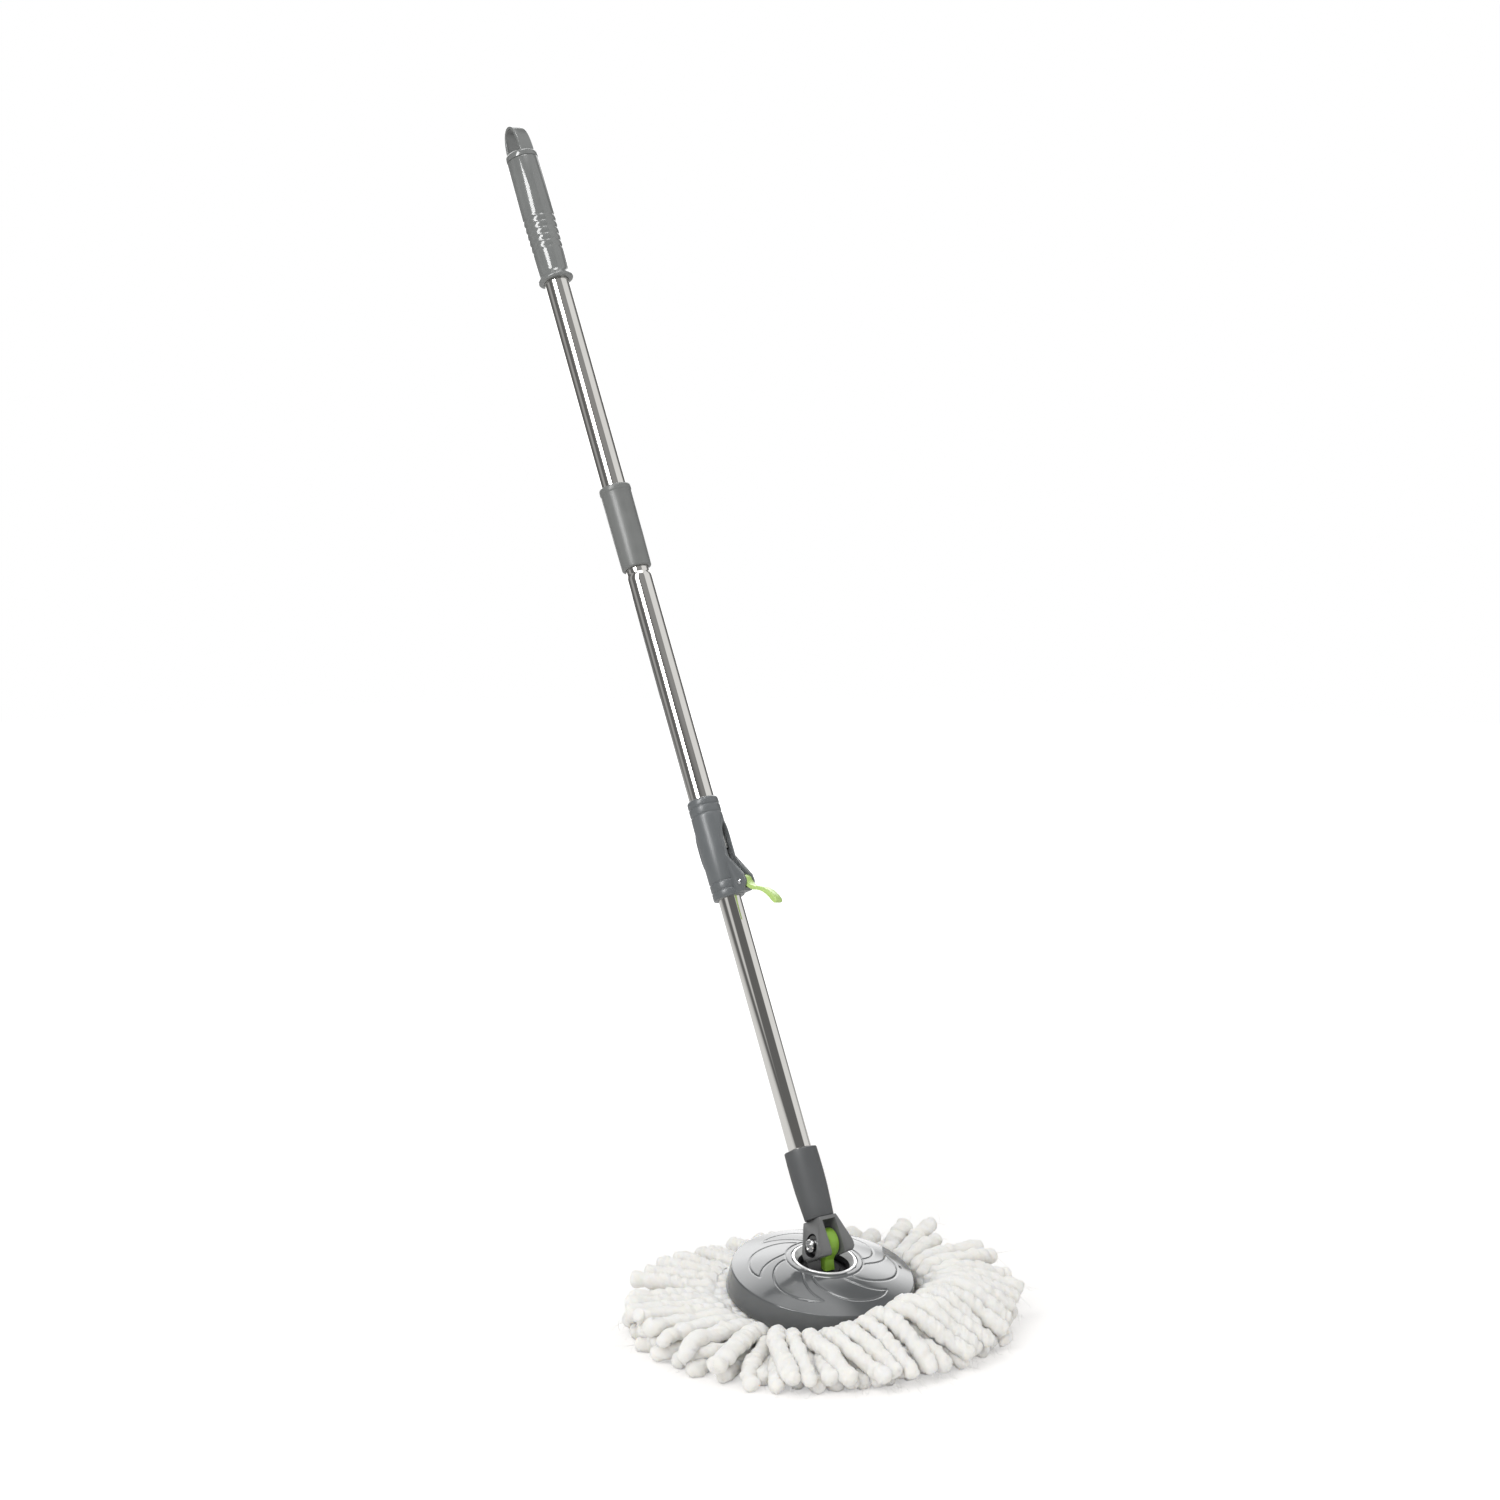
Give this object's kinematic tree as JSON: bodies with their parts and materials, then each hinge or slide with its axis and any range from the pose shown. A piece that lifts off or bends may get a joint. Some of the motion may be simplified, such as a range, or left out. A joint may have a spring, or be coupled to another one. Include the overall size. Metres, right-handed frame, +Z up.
{
  "type": "spin mop",
  "caption": "Round-head floor mop with fibre refill, domed disc, tilting joint, press-to-spin telescopic handle, cam lock lever and hanging loop.",
  "frame": {"origin": "on the floor, under the middle of the whole object's bounding box", "axes": "+Z up; +Y is the way the handle leans; X runs along the pivot bolt"},
  "size_m": [0.32, 0.6532, 0.9969],
  "materials": {
    "fibre": "off-white twisted microfibre chenille strands",
    "ring": "moulded white plastic",
    "disc": "glossy moulded dark grey plastic with fine swirl grooves",
    "bezel": "bright chrome plating",
    "hub": "dark matte moulded plastic",
    "base": "matte grey moulded plastic",
    "tongue": "mid green moulded plastic, slight sheen",
    "fasteners": "zinc plated steel",
    "bolt": "bright plated steel",
    "washers": "natural nylon",
    "yoke": "grey moulded plastic, satin",
    "socket": "dark grey moulded plastic, fine matte grain",
    "tube": "polished stainless steel, faintly drawn along its length",
    "mechanism": "dark moulded acetal",
    "nut": "white moulded acetal",
    "rod": "zinc plated twisted flat steel",
    "grip": "glossy grey moulded plastic",
    "lock": "satin gloss grey moulded plastic",
    "lever": "bright lime green moulded plastic",
    "brake": "black rubber"
  },
  "bodies": {
    "mop_head": {"fibre_pad": "fibre", "refill_ring": "ring", "disc_cover": "disc", "chrome_bezel": "bezel", "hub_cup": "hub", "swivel_base": "hub", "swivel_tongue": "tongue", "hub_washer": "fasteners", "hub_screw": "fasteners", "base_plate": "base", "cover_screw_1": "fasteners", "cover_screw_2": "fasteners", "cover_screw_3": "fasteners"},
    "lower_shaft": {"yoke": "yoke", "pivot_washer_left": "washers", "pivot_washer_right": "washers", "pivot_bolt": "bolt", "bolt_washer": "fasteners", "pivot_nut": "fasteners", "tube_socket": "socket", "socket_rivet": "fasteners", "lower_tube": "tube", "clutch_cup": "mechanism", "drive_nut": "nut", "nut_retainer": "fasteners"},
    "guide": {"guide_bush": "nut"},
    "outer_handle": {"middle_tube": "tube", "twisted_rod": "rod", "rod_stop": "mechanism", "rod_anchor": "mechanism", "coupling_sleeve": "grip", "joint_plug": "mechanism", "upper_tube": "tube", "grip_sleeve": "grip", "hanger_cap": "grip", "lock_body": "lock", "lever_pin": "bolt"},
    "lock_lever": {"cam_lever": "lever"},
    "brake": {"brake_pad": "brake"}
  },
  "joints": [
    {"name": "handle_tilt", "type": "hinge", "parent": "mop_head", "child": "lower_shaft", "pos_m": [0, -0.17169, 0.0733], "axis": [-1, 0, 0], "range_deg": [-108, 32]},
    {"name": "handle_spin", "type": "hinge", "parent": "lower_shaft", "child": "guide", "pos_m": [0, 0.01544, 0.4223], "axis": [0, -0.4726, -0.8813], "range_deg": [0, 702]},
    {"name": "handle_press", "type": "slide", "parent": "guide", "child": "outer_handle", "axis": [0, -0.4726, -0.8813], "range_m": [0, 0.195]},
    {"name": "lock_lever_turn", "type": "hinge", "parent": "outer_handle", "child": "lock_lever", "pos_m": [0.00733, -0.03894, 0.35705], "axis": [-0.9191, -0.3472, 0.1862], "range_deg": [0, 128]},
    {"name": "brake_press", "type": "slide", "parent": "outer_handle", "child": "brake", "axis": [-0.3939, 0.81, -0.4343], "range_m": [0, 0.0004]}
  ],
  "couplings": [
    {"joint": "handle_spin", "follows": "handle_press", "rad_per_m": 62.832},
    {"joint": "brake_press", "follows": "lock_lever_turn", "m_per_rad": 0.00017903}
  ]
}
